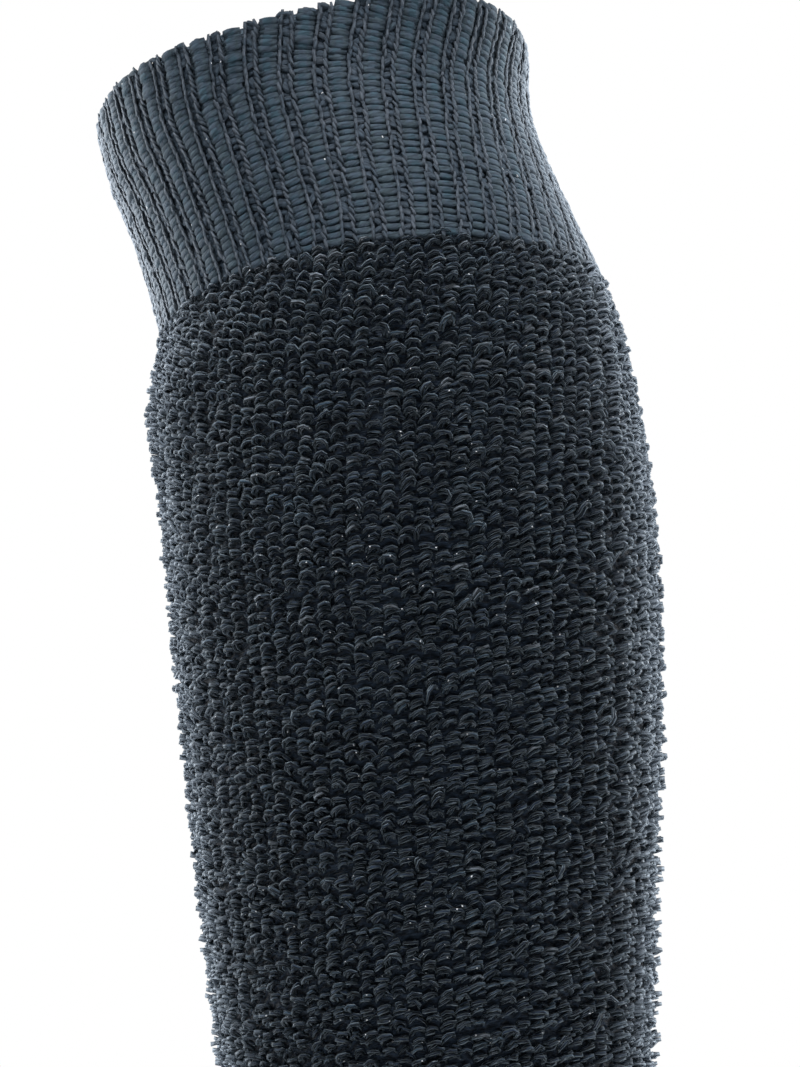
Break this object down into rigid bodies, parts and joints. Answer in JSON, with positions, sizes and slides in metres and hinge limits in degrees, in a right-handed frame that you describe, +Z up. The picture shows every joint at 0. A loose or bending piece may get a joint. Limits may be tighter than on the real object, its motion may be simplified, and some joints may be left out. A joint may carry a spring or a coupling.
{
  "type": "knee-high thermal sock",
  "caption": "Worn-form knee-high sock with a ribbed cuff, thick looped terry leg, turned heel, foot tube and rounded toe cap.",
  "frame": {"origin": "middle of the cuff on the leg's axis, where the sock is held up by the leg", "axes": "+Z up the leg to the open edge, -Y to the toe, +X across the sock, which is the same on both sides of X = 0 but for the lean of its ribs and the wave of its open edge"},
  "size_m": [0.1174, 0.269, 0.4537],
  "materials": {
    "ribbed_knit": "matte wool and nylon rib, blue-grey with brown-grey stitches",
    "terry_knit": "matte looped wool terry, dark charcoal blue"
  },
  "bodies": {
    "root": {"rib_cuff": "ribbed_knit", "terry_leg": "terry_knit", "heel_turn": "terry_knit", "terry_foot": "terry_knit", "toe_cap": "terry_knit"}
  },
  "joints": []
}
